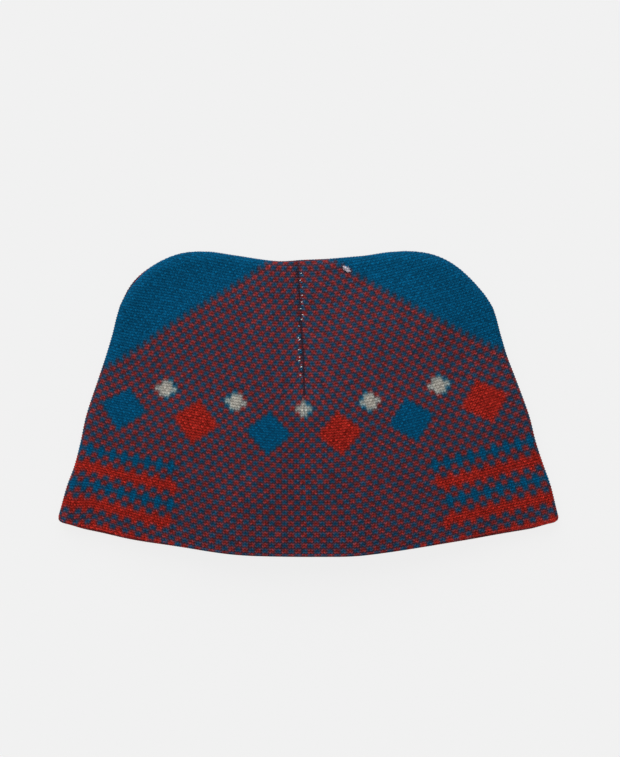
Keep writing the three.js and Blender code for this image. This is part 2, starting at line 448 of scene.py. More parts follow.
@dataclass(frozen=True)
class Fabric:
    """How wales and courses run over the cap.

    Wales are counted out from the middle line and courses up from the hem. The dart swallows the wales
    nearest to it, so that the courses slant down to it on both sides. The gathers are how far each half's
    wales are drawn towards the middle line, negative where they are spread from it. The fabric's side
    follows the outline up to the trusted height, and past it runs on as straight as its last points.
    """

    shape: CapShape
    half_wales: int = 78
    courses: int = 114
    course_heights: tuple = (
        {"course": -20, "height": -30.8},
        {"course": 17, "height": 19.9},
        {"course": 57, "height": 71.4},
        {"course": 120, "height": 159.1},
    )
    lost_each_mm: float = 0.235
    lost_from_left: float = 77.0
    lost_from_right: float = 72.0
    lost_ease: float = 8.0
    gathers: tuple = (
        {"up": 0, "left": -1.9, "right": -0.9},
        {"up": 30, "left": -1.2, "right": -0.8},
        {"up": 45, "left": -0.4, "right": 0.0},
        {"up": 60, "left": 0.0, "right": 1.7},
        {"up": 75, "left": 0.1, "right": 2.5},
        {"up": 100, "left": 0.3, "right": 1.6},
    )
    slant: float = 0.124
    slant_full: float = 94.0
    slant_blunt: float = 15.2
    fan_opening: float = 0.53
    side_trusted: float = 121.0
    side_fitted: int = 20
    reach_rounds: int = 8
    reach_from: float = -10.0
    reach_to: float = 170.0
    reach_count: int = 361
    corner_fade: float = 15.0
    lift_fade: float = 40.0
    peek_fade: float = 25.0
    drifts: tuple = (
        Drift(Side.RIGHT, (20, 115), (0, 80), (3.7, 0)),
        Drift(Side.LEFT, (45, 108), (0, 45), (4.4, 0)),
        Drift(Side.LEFT, (106, 119), (0, 60), (-2.7, 0)),
        Drift(Side.LEFT, (65, 100), (20, 65), (0, -2.6)),
        Drift(Side.LEFT, (50, 85), (60, 84, 110), (0, -2.2, -1.5)),
        Drift(Side.LEFT, (90, 112), (60, 84), (0, 1.4)),
        Drift(Side.LEFT, (0, 25), (60, 80), (0, -0.7)),
        Drift(Side.RIGHT, (30, 60), (25, 45, 75, 95), (0, 0.9, 0.9, 0.3)),
    )

    def up_at(self, course: np.ndarray) -> np.ndarray:
        """Height of a course on the middle line, where the first two and a half are turned under."""
        courses = [row["course"] for row in self.course_heights]
        return np.interp(course, courses, [row["height"] for row in self.course_heights])

    def course_at(self, up: np.ndarray) -> np.ndarray:
        """The course at a height on the middle line."""
        heights = [row["height"] for row in self.course_heights]
        return np.interp(up, heights, [row["course"] for row in self.course_heights])

    def drift(self, side: Side, out: np.ndarray, up: np.ndarray) -> np.ndarray:
        """How far worn courses have worked up or down at a distance out from the middle line."""
        return sum(part.at(out, up) for part in self.drifts if part.side is side)

    def out_at(self, side: Side, wale: np.ndarray, up: np.ndarray) -> np.ndarray:
        """Finds a wale on a course.

        Args:
            side: the half of the layer.
            wale: the wales' numbers out from the middle line.
            up: the heights at which their courses start there.

        Returns:
            How far out from the middle line they are.
        """
        heights = np.linspace(self.reach_from, self.reach_to, self.reach_count)
        reach = np.interp(up, heights, self.reach(side, heights))
        lost = self.lost(side, up)
        share = (wale - lost) / (self.half_wales - lost)
        levels = [row["up"] for row in self.gathers]
        most = np.interp(up, levels, [row[side.name.lower()] for row in self.gathers])
        full_at_two_thirds = 27 / 4 * share**2 * (1 - share)
        return share * reach - full_at_two_thirds * most

    def clear_of_hem(self, side: Side, wale: np.ndarray, up: np.ndarray) -> np.ndarray:
        """How far a point of the fabric lies above the hem."""
        return up + self.drift(side, self.out_at(side, wale, up), up)

    def lost(self, side: Side, up: np.ndarray) -> np.ndarray:
        """How many wales of a half the dart has swallowed at a height on the middle line."""
        past = up - side.pick(self.lost_from_left, self.lost_from_right)
        return self.lost_each_mm * (np.sqrt(past**2 + self.lost_ease**2) + past) / 2

    def rise(self, out: np.ndarray, up: np.ndarray) -> np.ndarray:
        """How far a course has risen on its way out.

        Args:
            out: distances out from the middle line.
            up: the heights at which the courses start there.

        Returns:
            The rise of each, from the hem's sweep and the slant beside the dart.
        """
        fan = out**2 / (2 * (self.shape.hem_sweep + self.fan_opening * up))
        slant = self.slant * smooth_step(up, 0, self.slant_full)
        return fan + slant * self.slant_blunt * np.log(np.cosh(out / self.slant_blunt))

    def side_x(self, side: Side, height: np.ndarray) -> np.ndarray:
        """Finds the flattened fabric's side, run on straight past the shoulder.

        Args:
            side: the half of the layer.
            height: heights up the cap.

        Returns:
            How far from X 0 the side is there.
        """
        line = self.shape.edge_line
        flat = line.points + line.normals * self.shape.roll_spare
        keep = (flat[:, 0] * side.value > 0) & (flat[:, 1] < self.side_trusted)
        rows = flat[keep][np.argsort(flat[keep][:, 1])]
        reach = np.abs(rows[:, 0])
        straight = np.polyfit(rows[-self.side_fitted :, 1], reach[-self.side_fitted :], 1)
        followed = np.interp(height, rows[:, 1], reach)
        return np.where(height < rows[-1, 1], followed, np.polyval(straight, height))

    def reach(self, side: Side, up: np.ndarray) -> np.ndarray:
        """Finds where courses meet the side.

        Args:
            side: the half of the layer.
            up: the heights at which the courses start on the middle line.

        Returns:
            How far along X from the middle line they end.
        """
        middle = self.shape.dart_x(up) * side.value
        out = np.full_like(up, self.shape.hem_half_width)
        for _ in range(self.reach_rounds):
            height = up + self.rise(out, np.maximum(up, 0)) + self.drift(side, out, up)
            out = self.side_x(side, height) - middle
        return out

    def flat_places(self, layer: Layer, side: Side, wale: np.ndarray, up: np.ndarray) -> np.ndarray:
        """Lays points of the fabric out flat.

        Args:
            layer: the layer that they belong to.
            side: the half of it.
            wale: their wales, out from the middle line.
            up: the heights at which their courses start there.

        Returns:
            Rows of x and height.
        """
        out = self.out_at(side, wale, up)
        x = self.shape.dart_x(up) + side.value * out
        height = up + self.rise(out, np.maximum(up, 0)) + self.drift(side, out, up)
        corner = self.shape.hem_corner
        past = np.maximum(0, np.abs(x) - (self.shape.hem_half_width + self.shape.roll_spare - corner))
        height = height + past**2 / (2 * corner) * np.clip(1 - up / self.corner_fade, 0, 1)
        height = height + self.shape.hem_lift(x) * np.clip(1 - up / self.lift_fade, 0, 1)
        if layer is Layer.BACK:
            height = height - self.shape.back_peek(x) * np.clip(1 - up / self.peek_fade, 0, 1)
        return np.column_stack([x, height])


@dataclass(frozen=True)
class KnitChart:
    """The pattern, in cells of two stitches by two, counted out from the middle and up from the hem.

    The plain corners are counted in stitches: they hold those whose wale and course together come to a
    number, so their edge cuts across the cells.
    """

    cell: int = 2
    turned_under: int = 2
    stripe_from: int = 21
    red_rows: tuple = (4, 5, 11, 12)
    blue_rows: tuple = (8, 15)
    motif_pitch: float = 13.0
    lozenge_middle: int = 24
    lozenge_reach: int = 4
    spot_middle: int = 29
    spot_reach: float = 1.5
    spots_to: int = 33
    corner_from_left: int = 139
    corner_from_right: int = 141

    def yarns(self, layer: Layer, side: Side, wale: np.ndarray, course: np.ndarray) -> np.ndarray:
        """The yarn of each stitch on an outer face.

        Args:
            layer: the layer that the stitches belong to.
            side: the half that they belong to.
            wale: their whole numbers out from the middle line.
            course: their whole numbers up from the hem.

        Returns:
            The values of their yarns.
        """
        across = np.floor(np.where(side is Side.RIGHT, wale, -wale - 1) / self.cell)
        row = np.floor(course / self.cell)
        chosen = np.where((across + row) % 2 == 0, Yarn.RED.value, Yarn.BLUE.value)
        out = np.abs(across + 0.5)
        striped = out > self.stripe_from
        chosen = np.where(striped & np.isin(row, self.red_rows), Yarn.RED.value, chosen)
        chosen = np.where(striped & np.isin(row, self.blue_rows), Yarn.BLUE.value, chosen)
        chosen = np.where(course < self.turned_under, Yarn.RED.value, chosen)
        if layer is Layer.BACK:
            return chosen
        from_lozenge = np.abs((out % self.motif_pitch) - self.motif_pitch / 2)
        from_gap = self.motif_pitch / 2 - from_lozenge
        lozenge = from_lozenge + np.abs(row - self.lozenge_middle) <= self.lozenge_reach
        every_other = np.floor(across / self.motif_pitch) % 2 == 0
        spot = (out < self.spots_to) & (from_gap + np.abs(row - self.spot_middle) <= self.spot_reach)
        corner = wale + course >= side.pick(self.corner_from_left, self.corner_from_right)
        chosen = np.where(lozenge | corner, Yarn.BLUE.value, chosen)
        chosen = np.where(lozenge & every_other, Yarn.RED.value, chosen)
        return np.where(spot, Yarn.WHITE.value, chosen)

    def reverse_yarns(self, wale: np.ndarray, course: np.ndarray) -> np.ndarray:
        """The yarn of each stitch on an inner face, where the two colours alternate."""
        return np.where((wale + course) % 2 == 0, Yarn.RED.value, Yarn.BLUE.value)


class Graph:
    """A node tree while it is being wired.

    Where a value is asked for, it is a socket to link or a plain value.
    """

    def __init__(self, tree: bpy.types.NodeTree) -> None:
        """Starts on an empty tree."""
        self.tree = tree

    def node(self, kind: str, **settings: object) -> bpy.types.Node:
        """Adds a node.

        Args:
            kind: the node's type.
            settings: its properties.

        Returns:
            The node.
        """
        made = self.tree.nodes.new(kind)
        for name, value in settings.items():
            setattr(made, name, value)
        return made

    def feed(self, socket: Socket, value: object) -> None:
        """Gives a socket what it works on.

        Args:
            socket: the input.
            value: a socket to link it to, or its own value.
        """
        if isinstance(value, Socket):
            self.tree.links.new(value, socket)
        else:
            socket.default_value = value

    def call(self, kind: str, inputs: dict, output: int | str = 0, **settings: object) -> Socket:
        """Adds a node and feeds it.

        Args:
            kind: the node's type.
            inputs: a socket or value for each input, by its name or number.
            output: the name or number of the output that is wanted.
            settings: the node's properties.

        Returns:
            That output.
        """
        made = self.node(kind, **settings)
        for name, value in inputs.items():
            self.feed(made.inputs[name], value)
        return made.outputs[output]

    def math(self, operation: str, *values: object, clamp: bool = False) -> Socket:
        """A Math node."""
        return self.call("ShaderNodeMath", dict(enumerate(values)), operation=operation, use_clamp=clamp)

    def vector(self, operation: str, *values: object) -> Socket:
        """A Vector Math node."""
        return self.call("ShaderNodeVectorMath", dict(enumerate(values)), operation=operation)

    def split(self, vector: Socket) -> tuple:
        """Takes a vector apart.

        Args:
            vector: the vector.

        Returns:
            Its X and Y.
        """
        made = self.node("ShaderNodeSeparateXYZ")
        self.feed(made.inputs[0], vector)
        return made.outputs[0], made.outputs[1]

    def named(self, name: str) -> Socket:
        """A mark that the mesh carries, where Geometry Nodes read it."""
        return self.call("GeometryNodeInputNamedAttribute", {"Name": name}, data_type="FLOAT_VECTOR")

    def gamma(self, color: Socket, power: Socket) -> Socket:
        """A colour raised to a power."""
        return self.call("ShaderNodeGamma", {"Color": color, "Gamma": power})

    def marked(self, name: str) -> Socket:
        """A mark that the mesh carries, where a material reads it."""
        return self.call("ShaderNodeAttribute", {}, "Vector", attribute_name=name)

    def from_half(self, value: Socket) -> Socket:
        """How far a value lies from the half between two whole numbers."""
        return self.math("ABSOLUTE", self.math("SUBTRACT", self.math("FRACT", value), 0.5))

    def blend(self, share: object, first: object, second: object, mode: str = "MIX") -> Socket:
        """Mixes two colours.

        Args:
            share: how much of the second there is.
            first: the colour under it.
            second: the other colour.
            mode: how the second is laid on the first.

        Returns:
            The mixed colour.
        """
        made = self.node("ShaderNodeMix", data_type="RGBA", blend_type=mode)
        self.feed(made.inputs[0], share)
        self.feed(made.inputs[MIX_FIRST], first)
        self.feed(made.inputs[MIX_SECOND], second)
        return made.outputs[MIX_RESULT]


def new_group(name: str, kind: str, inputs: dict, outputs: dict) -> tuple[Graph, dict, bpy.types.Node]:
    """Starts a node group.

    Args:
        name: the group's name.
        kind: ShaderNodeTree or GeometryNodeTree.
        inputs: each input's name with its socket type and default value.
        outputs: each output's name with its socket type.

    Returns:
        The group's graph, its inputs by name, and its output node.
    """
    tree = bpy.data.node_groups.new(name, kind)
    for label, (socket_type, value) in inputs.items():
        made = tree.interface.new_socket(label, in_out="INPUT", socket_type=socket_type)
        if value is not None:
            made.default_value = value
    for label, socket_type in outputs.items():
        tree.interface.new_socket(label, in_out="OUTPUT", socket_type=socket_type)
    graph = Graph(tree)
    entry = graph.node("NodeGroupInput")
    return graph, {label: entry.outputs[label] for label in inputs}, graph.node("NodeGroupOutput")


def stitch_relief(graph: Graph, stitch: Socket, dip: object) -> Socket:
    """Wires the profile of a knit stitch: two rounded legs that rise from a shared foot.

    Args:
        graph: the tree to wire it in.
        stitch: wale and course numbers, with the courses already bent into their V.
        dip: how high the middle of the stitch stays between its legs.

    Returns:
        A height from 0 between stitches to 1 on a leg.
    """
    wale, course = graph.split(stitch)
    from_row = graph.math("MULTIPLY", graph.from_half(course), 2.0)
    ridge = graph.math("SUBTRACT", 1.0, from_row, clamp=True)
    from_middle = graph.math("MULTIPLY", graph.from_half(wale), 4.0)
    from_leg = graph.math("ABSOLUTE", graph.math("SUBTRACT", from_middle, 1.0))
    leg = graph.math("SUBTRACT", 1.0, from_leg, clamp=True)
    near_middle = graph.math("SUBTRACT", 1.0, from_middle, clamp=True)
    kept = graph.math("MULTIPLY", near_middle, dip)
    return graph.math("MULTIPLY", ridge, graph.math("MAXIMUM", leg, kept))


def alternate(graph: Graph, stitch: Socket) -> Socket:
    """Tells every other stitch from the rest, both along a course and up a wale.

    Args:
        graph: the tree to wire it in.
        stitch: wale and course numbers.

    Returns:
        0 on one stitch and 1 on the next.
    """
    wale, course = graph.split(graph.vector("FLOOR", stitch))
    half = graph.math("MULTIPLY", graph.math("ADD", wale, course), 0.5)
    return graph.math("MULTIPLY", graph.math("FRACT", half), 2.0)


@dataclass(frozen=True)
class ShadingGroups:
    """The shader groups that more than one yarn uses."""

    lit_power: float = 0.7
    ply_across: float = 38.0
    ply_up: float = 12.6

    @cached_property
    def stitch_tone_and_shade(self) -> bpy.types.NodeTree:
        """How light a knit stitch is: painted shade in the gaps between the stitches, and a little
        different in each.
        """
        graph, entry, end = new_group(
            "stitch_tone_and_shade",
            "ShaderNodeTree",
            {
                "Stitch": ("NodeSocketVector", None),
                "Gap Shade": ("NodeSocketFloat", 0.5),
                "Spread": ("NodeSocketFloat", 0.12),
                "Stagger": ("NodeSocketFloat", 0.2),
                "Ply Depth": ("NodeSocketFloat", 0.5),
            },
            {"Tone": "NodeSocketFloat", "Height": "NodeSocketFloat"},
        )
        relief = stitch_relief(graph, entry["Stitch"], STITCH_MIDDLE)
        floor = graph.vector("FLOOR", entry["Stitch"])
        random = graph.call("ShaderNodeTexWhiteNoise", {"Vector": floor}, "Value", noise_dimensions="3D")
        uneven = graph.math("MULTIPLY_ADD", graph.math("SUBTRACT", random, 0.5), entry["Spread"], 1.0)
        every_other = graph.math("SUBTRACT", alternate(graph, entry["Stitch"]), 0.5)
        varied = graph.math("MULTIPLY_ADD", every_other, entry["Stagger"], uneven)
        # Painted shade: the gaps between legs and courses darken towards Gap Shade, for their shadow and
        # darker yarn.
        lit = graph.math("POWER", relief, self.lit_power)
        gap = entry["Gap Shade"]
        depth = graph.math("MULTIPLY_ADD", lit, graph.math("SUBTRACT", 1.0, gap), gap)
        graph.feed(end.inputs["Tone"], graph.math("MULTIPLY", depth, varied))
        wale, course = graph.split(entry["Stitch"])
        along_course = graph.math("MULTIPLY", graph.from_half(wale), self.ply_across)
        twist = graph.math("ADD", along_course, graph.math("MULTIPLY", course, self.ply_up))
        ply = graph.math("MULTIPLY", graph.math("SINE", twist), entry["Ply Depth"])
        graph.feed(end.inputs["Height"], graph.math("ADD", relief, ply))
        return graph.tree

    @cached_property
    def yarn_mix(self) -> bpy.types.NodeTree:
        """Two yarns whose fibres have worked into each other, darker where they meet."""
        graph, entry, end = new_group(
            "yarn_mix",
            "ShaderNodeTree",
            {
                "Share": ("NodeSocketFloat", 0.5),
                "First": ("NodeSocketColor", (0, 0, 0, 1)),
                "Second": ("NodeSocketColor", (1, 1, 1, 1)),
                "Depth": ("NodeSocketFloat", 2.2),
                "Shade": ("NodeSocketFloat", 0.22),
            },
            {"Color": "NodeSocketColor"},
        )
        share = entry["Share"]
        both = graph.math("MULTIPLY", share, graph.math("SUBTRACT", 1.0, share))
        mixed_most = graph.math("MULTIPLY", both, 4.0)
        kept = graph.math("SUBTRACT", 1.0, graph.math("MULTIPLY", mixed_most, entry["Shade"]))
        gray = graph.call("ShaderNodeCombineColor", dict.fromkeys(range(3), kept))
        shaded = graph.blend(1.0, entry["First"], gray, "MULTIPLY")
        root = graph.math("DIVIDE", 1.0, entry["Depth"])
        mixed = graph.blend(share, graph.gamma(shaded, root), graph.gamma(entry["Second"], root))
        graph.feed(end.inputs["Color"], graph.gamma(mixed, entry["Depth"]))
        return graph.tree

    @cached_property
    def yarn_wear(self) -> bpy.types.NodeTree:
        """Slow changes of tone and fine fibre over a piece."""
        graph, entry, end = new_group(
            "yarn_wear",
            "ShaderNodeTree",
            {
                "Place": ("NodeSocketVector", None),
                "Patch Size": ("NodeSocketFloat", 40.0),
                "Fleck Size": ("NodeSocketFloat", 1000.0),
                "Fibre Size": ("NodeSocketFloat", 2600.0),
            },
            {"Patch": "NodeSocketFloat", "Fleck": "NodeSocketFloat", "Fibre": "NodeSocketFloat"},
        )
        for label, detail in (("Patch", 2.0), ("Fleck", 1.0), ("Fibre", 3.0)):
            scale = f"{label} Size"
            inputs = {"Vector": entry["Place"], "Scale": entry[scale], "Detail": detail}
            graph.feed(end.inputs[label], graph.call("ShaderNodeTexNoise", inputs, "Fac"))
        return graph.tree


@dataclass(frozen=True)
class Palette:
    """The yarns' colours, as linear red, green and blue, some of them also painted shade or glints."""

    blue: tuple = (0.001, 0.147, 0.335)
    red: tuple = (0.635, 0.034, 0.022)
    white: tuple = (0.78, 0.74, 0.65)
    # Near black: the linking yarn, painted dark as the shadow in the dart's groove.
    groove_shade_thread: tuple = (0.03, 0.015, 0.024)
    # Bluish white: pale linking yarn, painted brighter as glints where it catches the light.
    pale: tuple = (0.72, 0.82, 0.88)
    # A lighter blue, a painted highlight on blue loops by the darts.
    highlight_blue: tuple = (0.03, 0.22, 0.4)
    frayed: tuple = (0.6, 0.56, 0.63)


@dataclass(frozen=True)
class YarnFinish:
    """A plain yarn, for stitches that are meshes of their own."""

    name: str
    color: tuple
    groups: ShadingGroups
    patch_share: float = 0.25
    roughness: float = 0.9
    gloss: float = 0.05
    bump_strength: float = 0.5
    bump_height: float = 0.2

    @cached_property
    def material(self) -> bpy.types.Material:
        """The yarn's material, with its slow changes of tone and its fibre."""
        made, graph, wear = self.start()
        dark = tuple(c * (1 - self.patch_share) for c in self.color)
        pale = tuple(min(1, c * (1 + self.patch_share)) for c in self.color)
        color = graph.blend(wear["Patch"], (*dark, 1), (*pale, 1))
        self.dress(graph, color, wear["Fibre"])
        return made

    def start(self) -> tuple[bpy.types.Material, Graph, bpy.types.bpy_prop_collection]:
        """Starts the material with the wear that every yarn shows.

        Returns:
            The material, its graph, and the outputs of the wear.
        """
        made = bpy.data.materials.new(self.name)
        made.use_nodes = True
        made.node_tree.nodes.clear()
        graph = Graph(made.node_tree)
        wear = graph.node("ShaderNodeGroup", node_tree=self.groups.yarn_wear)
        graph.feed(wear.inputs["Place"], graph.node("ShaderNodeTexCoord").outputs["Object"])
        return made, graph, wear.outputs

    def dress(self, graph: Graph, color: Socket, height: Socket) -> None:
        """Ends the material as matt yarn.

        Args:
            graph: the material's graph.
            color: the yarn's colour over the surface.
            height: the height of its fibre, for a bump.
        """
        inputs = {"Height": height, "Strength": self.bump_strength, "Distance": self.bump_height * MM}
        bump = graph.call("ShaderNodeBump", inputs)
        inputs = {
            "Base Color": color,
            "Roughness": self.roughness,
            "Specular IOR Level": self.gloss,
            "Normal": bump,
        }
        shader = graph.call("ShaderNodeBsdfPrincipled", inputs)
        graph.feed(graph.node("ShaderNodeOutputMaterial").inputs["Surface"], shader)


@dataclass(frozen=True)
class KnitFinish(YarnFinish):
    """The charted fabric: each stitch in the colour of its yarn, with painted shade between the stitches.
    """

    red: tuple = Palette.red
    white: tuple = Palette.white
    # How dark the painted shade between the stitches is.
    gap_shade: float = 0.17
    spread: float = 0.4
    stagger: float = 0.25
    fleck_share: float = 1.8
    middle_tone: float = 0.5
    blue_contrast: float = 0.8
    red_contrast: float = 1.1
    fibre_share: float = 0.4

    @cached_property
    def material(self) -> bpy.types.Material:
        """The fabric's material, which reads each stitch's yarn and place in the chart."""
        made, graph, wear = self.start()
        red_share, white_share = graph.split(graph.marked("yarn"))
        color = (*self.color, 1)
        for share, other in ((red_share, self.red), (white_share, self.white)):
            inputs = {"Share": share, "First": color, "Second": (*other, 1)}
            color = graph.call("ShaderNodeGroup", inputs, "Color", node_tree=self.groups.yarn_mix)
        tone = graph.node("ShaderNodeGroup", node_tree=self.groups.stitch_tone_and_shade)
        inputs = {
            "Stitch": graph.marked("stitch"),
            "Gap Shade": self.gap_shade,
            "Spread": self.spread,
            "Stagger": self.stagger,
        }
        for name, value in inputs.items():
            graph.feed(tone.inputs[name], value)
        # The tone carries the painted shade between the stitches.
        light = tone.outputs["Tone"]
        for label, share in (("Patch", self.patch_share), ("Fleck", self.fleck_share)):
            change = graph.math("MULTIPLY_ADD", wear[label], share, 1 - share / 2)
            light = graph.math("MULTIPLY", light, change)
        light = self.contrasted(graph, light, red_share)
        gray = graph.call("ShaderNodeCombineColor", dict.fromkeys(range(3), light))
        shaded = graph.blend(1.0, color, gray, "MULTIPLY")
        height = graph.math("MULTIPLY_ADD", wear["Fibre"], self.fibre_share, tone.outputs["Height"])
        self.dress(graph, shaded, height)
        return made

    def contrasted(self, graph: Graph, light: Socket, red_share: Socket) -> Socket:
        """Spreads the light and dark of the stitches, more in red than in blue.

        Args:
            graph: the material's graph.
            light: how light the fabric is.
            red_share: how red its yarn is.

        Returns:
            How light the fabric is then, never below 0.
        """
        more = self.red_contrast - self.blue_contrast
        gain = graph.math("MULTIPLY_ADD", red_share, more, self.blue_contrast)
        from_middle = graph.math("SUBTRACT", light, self.middle_tone)
        return graph.math("MAXIMUM", graph.math("MULTIPLY_ADD", from_middle, gain, self.middle_tone), 0.0)


def shown(name: str, data: bpy.types.ID) -> bpy.types.Object:
    """A new object in the scene.

    Args:
        name: its name.
        data: its mesh, lamp or camera.

    Returns:
        The object.
    """
    made = bpy.data.objects.new(name, data)
    bpy.context.scene.collection.objects.link(made)
    return made


def mesh_of(name: str, places: np.ndarray, faces: list) -> bpy.types.Mesh:
    """A smooth-shaded mesh.

    Args:
        name: its name.
        places: its points, in metres.
        faces: the numbers of each face's points.

    Returns:
        The mesh.
    """
    mesh = bpy.data.meshes.new(name)
    mesh.from_pydata(places.tolist(), [], faces)
    mesh.polygons.foreach_set("use_smooth", np.ones(len(mesh.polygons), bool))
    return mesh


def mark(mesh: bpy.types.Mesh, name: str, domain: str, values: np.ndarray) -> None:
    """Stores one vector for each point or face of a mesh."""
    made = mesh.attributes.new(name, "FLOAT_VECTOR", domain)
    made.data.foreach_set("vector", values.astype(np.float32).ravel())


def finished(tree: bpy.types.NodeTree, base: bpy.types.Object, settings: dict) -> bpy.types.Object:
    """Runs a Geometry Nodes tree on an object and keeps the result as a plain mesh.

    Args:
        tree: the geometry tree.
        base: the object whose mesh or curve goes in, which is removed.
        settings: a value for each of the tree's named inputs.

    Returns:
        A new object of the same name that holds the result.
    """
    modifier = base.modifiers.new(tree.name, "NODES")
    modifier.node_group = tree
    sockets = {s.name: s.identifier for s in tree.interface.items_tree if s.in_out == "INPUT"}
    for name, value in settings.items():
        modifier[sockets[name]] = value
    graph = bpy.context.evaluated_depsgraph_get()
    mesh = bpy.data.meshes.new_from_object(base.evaluated_get(graph), depsgraph=graph)
    name = base.name
    bpy.data.objects.remove(base)
    mesh.name = name
    return shown(name, mesh)


@dataclass
class KnitPanel:
    """One half of a layer: its stitches in relief outside, its plain reverse inside."""

    shape: CapShape
    fabric: Fabric
    chart: KnitChart
    finish: KnitFinish
    layer: Layer
    side: Side
    columns: int = 4
    rows: int = 2
    coarse: int = 2
    bend: float = 0.5
    relief: float = 0.42
    bleed: float = 0.5
    bleed_steps: int = 5
    first_course: int = -4
    hem_clearance: float = 0.3
    seam_overlap: float = 0.04

    @property
    def name(self) -> str:
        """The piece's name."""
        return f"knit_{self.layer.value}_{self.side.name.lower()}"

    def build(self) -> bpy.types.Object:
        """Makes the piece.

        Returns:
            The panel, dressed.
        """
        base = shown(self.name, self.base_mesh())
        settings = {"Relief": self.relief * MM, "Middle": STITCH_MIDDLE}
        settings |= {"Bleed": self.bleed, "Bleed Steps": self.bleed_steps}
        return finished(self.relief_tree(), base, settings)

    def base_mesh(self) -> bpy.types.Mesh:
        """Lays the panel over the cap's form, with its stitches marked out but not yet raised.

        Returns:
            The panel's closed mesh.
        """
        wide = self.fabric.half_wales * self.columns + 1
        tall = (self.fabric.courses - self.first_course) * self.rows + 1
        column, row = np.indices((wide, tall))
        wale = column / self.columns
        course = self.first_course + row / self.rows
        valley = np.abs(2 * (wale % 1) - 1)
        up = self.fabric.up_at(course + self.bend * (valley - 1))
        lost = self.fabric.lost(self.side, up)
        first_column = np.maximum(np.floor(lost * self.columns), 0).astype(int)
        wale = np.maximum(wale, lost)
        first_row, last_row = self.cut_to_length(wale, course, up)
        flat = self.fabric.flat_places(self.layer, self.side, wale.ravel(), up.ravel())
        places, outward = self.shape.raise_points(self.layer, flat)
        if self.layer is Layer.BACK:
            places[:, 2] += self.relief * np.clip(-outward[:, 2], 0, 1)
        kept_column = np.maximum(column, first_column)
        kept_row = np.clip(row, np.maximum(first_row - 1, 0)[kept_column], last_row[kept_column])
        index = kept_column * tall + kept_row
        return self.assemble(index, places, outward, np.column_stack([wale.ravel(), course.ravel()]))

    def cut_to_length(
        self, wale: np.ndarray, course: np.ndarray, up: np.ndarray
    ) -> tuple[np.ndarray, np.ndarray]:
        """Ends the fabric at the hem and at the seam.

        Args:
            wale: wale numbers, for each column and row.
            course: course numbers, changed in place where a column ends.
            up: heights on the middle line, changed in place as the courses are.

        Returns:
            For each column, the first row above the hem and the row of the first point past the seam.
        """
        above = self.fabric.clear_of_hem(self.side, wale, up) - self.hem_clearance
        first_row = (above > 0).argmax(1)
        flat = self.fabric.flat_places(self.layer, self.side, wale.ravel(), up.ravel())
        inside = self.shape.edge_line.nearest(flat)[0].reshape(wale.shape)
        inside = inside + self.shape.roll_spare + self.seam_overlap
        tall = wale.shape[1]
        inside[:, : tall // 2] = 1
        last_row = np.where((inside < 0).any(1), (inside < 0).argmax(1), tall - 1)
        for ends, margin, step in ((first_row - 1, above, 1), (last_row, inside, -1)):
            self.trim(up, course, ends, margin, step)
        return first_row, last_row

    @staticmethod
    def trim(up: np.ndarray, course: np.ndarray, ends: np.ndarray, margin: np.ndarray, step: int) -> None:
        """Draws the last point of each column back to where the fabric ends.

        Args:
            up: heights on the middle line, changed in place.
            course: course numbers, changed in place.
            ends: for each column, the row of the first point past the end.
            margin: how far each point lies within the fabric, negative past its end.
            step: from that row to its neighbour within the fabric.
        """
        columns = np.flatnonzero((ends >= 0) & (ends < up.shape[1] - 1))
        past = ends[columns]
        within = past + step
        share = margin[columns, within] / (margin[columns, within] - margin[columns, past])
        share = np.clip(share, 0, 1)
        for values in (up, course):
            run = values[columns, past] - values[columns, within]
            values[columns, past] = values[columns, within] + share * run

    def assemble(
        self, index: np.ndarray, places: np.ndarray, outward: np.ndarray, stitch: np.ndarray
    ) -> bpy.types.Mesh:
        """Joins the outer face, the inner face and the rim between them.

        Args:
            index: for each column and row, the outer point that stands there.
            places: the outer points.
            outward: their outward directions.
            stitch: their wales and courses.

        Returns:
            The closed mesh, with the marks that the finish reads.
        """
        coarse = index[:: self.columns, :: self.rows * self.coarse]
        if (index.shape[1] - 1) % (self.rows * self.coarse):
            coarse = np.column_stack([coarse, index[:: self.columns, -1]])
        inner = coarse + len(places)
        every = np.vstack([places, places - outward * (self.shape.wall - self.relief / 2)])
        outer_faces, outer_cells = self.faces_of(index, False)
        inner_faces, inner_cells = self.faces_of(inner, True)
        wale = outer_cells[:, 0] // self.columns
        course = outer_cells[:, 1] // self.rows + self.first_course
        yarns = [self.chart.yarns(self.layer, self.side, wale, course)]
        yarns.append(self.chart.reverse_yarns(inner_cells[:, 0], inner_cells[:, 1]))
        rim = [
            *self.bridge(index[:, 0], inner[:, 0], self.columns, False),
            *self.bridge(index[-1], inner[-1], self.rows * self.coarse, False),
            *self.bridge(index[:, -1], inner[:, -1], self.columns, True),
            *self.bridge(index[0], inner[0], self.rows * self.coarse, True),
        ]
        yarns.append(np.where(np.arange(len(rim)) % 2 == 0, Yarn.RED.value, Yarn.BLUE.value))
        faces = [*outer_faces, *inner_faces, *rim]
        used, compact = np.unique(np.concatenate([np.array(face) for face in faces]), return_inverse=True)
        ends = np.cumsum([len(face) for face in faces])[:-1]
        faces = [part.tolist() for part in np.split(compact, ends)]
        if (self.layer is Layer.BACK) != (self.side is Side.LEFT):
            faces = [face[::-1] for face in faces]
        mesh = mesh_of(self.name, self.shape.to_frame(every[used]), faces)
        marks = np.vstack([stitch, np.floor(stitch)])[used]
        mark(mesh, "stitch", "POINT", np.column_stack([marks, np.zeros(len(marks))]))
        mark(mesh, "outward", "POINT", np.vstack([outward, outward])[used])
        mark(mesh, "yarn", "FACE", Yarn.shares(np.concatenate(yarns)))
        return mesh

